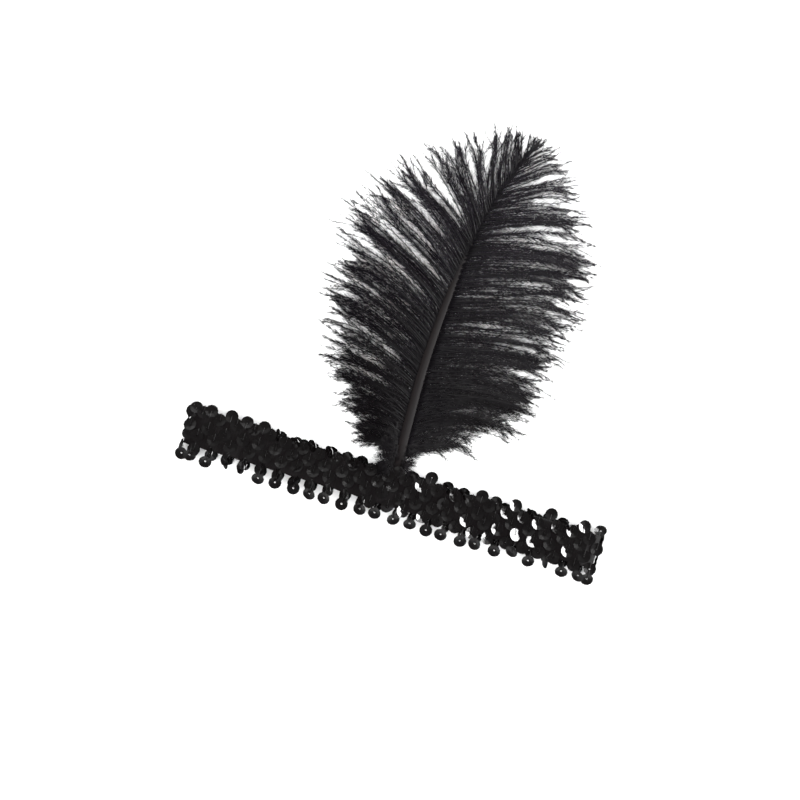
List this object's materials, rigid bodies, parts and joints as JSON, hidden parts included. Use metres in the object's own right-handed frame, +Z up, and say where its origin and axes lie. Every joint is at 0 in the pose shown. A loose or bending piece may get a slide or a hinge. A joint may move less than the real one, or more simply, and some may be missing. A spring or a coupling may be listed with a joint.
{
  "type": "feather headband",
  "caption": "Stretch headband covered in rows of cup sequins, lying flat, with one ostrich plume held at the middle of its front.",
  "frame": {"origin": "middle of the footprint of the lying headband, at table height", "axes": "+Z up out of the front of the band, +X along the band to the picture's right, +Y from the band towards the tip of the plume"},
  "size_m": [0.1992, 0.1882, 0.0157],
  "materials": {
    "elastic": "matt black stretch fabric",
    "sequins": "glossy black",
    "shaft": "dyed quill, satin",
    "barbs": "dyed black feather, soft",
    "felt": "matt black felt"
  },
  "bodies": {
    "root": {"elastic_band": "elastic", "sequin_row_1": "sequins", "sequin_row_2": "sequins", "sequin_row_3": "sequins", "sequin_row_4": "sequins", "sequin_row_5": "sequins", "sequin_row_6": "sequins", "feather_shaft": "shaft", "barbs_left": "barbs", "barbs_right": "barbs", "quill_patch": "felt"}
  },
  "joints": []
}
